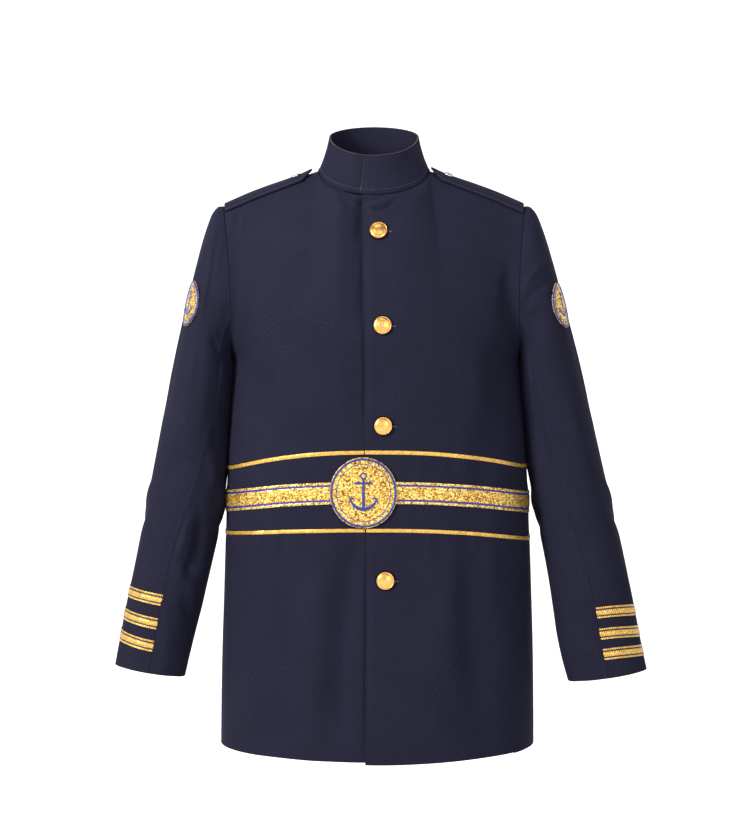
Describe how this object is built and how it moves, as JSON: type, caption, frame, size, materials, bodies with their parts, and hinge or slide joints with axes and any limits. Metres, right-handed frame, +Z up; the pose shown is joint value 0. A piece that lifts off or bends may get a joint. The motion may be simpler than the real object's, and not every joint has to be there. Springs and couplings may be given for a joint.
{
  "type": "naval dress jacket",
  "caption": "Hollow dark-blue dress jacket with a stand collar, shoulder straps, set-in sleeves, domed buttons, gold waist braid, oval badges and cuff braids.",
  "frame": {"origin": "middle of the neck opening, level with the inner ends of the shoulder seams, where the wearer's neck and shoulders hold the jacket", "axes": "+Z up, -Y the front, +X the wearer's left"},
  "size_m": [0.6981, 0.2547, 0.832],
  "materials": {
    "navy_cloth": "matt twill",
    "gold_braid": "metallic thread",
    "badge_gold": "metallic embroidery",
    "gilt_brass": "polished",
    "nickel": "polished"
  },
  "bodies": {
    "root": {"front_left": "navy_cloth", "front_right": "navy_cloth", "back_left": "navy_cloth", "back_right": "navy_cloth", "sleeve_top_left": "navy_cloth", "sleeve_top_right": "navy_cloth", "sleeve_under_left": "navy_cloth", "sleeve_under_right": "navy_cloth", "collar": "navy_cloth", "shoulder_strap_left": "navy_cloth", "shoulder_strap_right": "navy_cloth", "strap_stud_left": "nickel", "strap_stud_right": "nickel", "button_1": "gilt_brass", "button_2": "gilt_brass", "button_3": "gilt_brass", "button_4": "gilt_brass", "waist_badge": "badge_gold", "arm_badge_left": "badge_gold", "arm_badge_right": "badge_gold", "waist_line_upper_front_left": "gold_braid", "waist_line_upper_front_right": "gold_braid", "waist_line_upper_back": "gold_braid", "waist_braid_front_left": "gold_braid", "waist_braid_front_right": "gold_braid", "waist_braid_back": "gold_braid", "waist_line_lower_front_left": "gold_braid", "waist_line_lower_front_right": "gold_braid", "waist_line_lower_back": "gold_braid", "cuff_braid_left_1": "gold_braid", "cuff_braid_left_2": "gold_braid", "cuff_braid_left_3": "gold_braid", "cuff_braid_right_1": "gold_braid", "cuff_braid_right_2": "gold_braid", "cuff_braid_right_3": "gold_braid"}
  },
  "joints": []
}
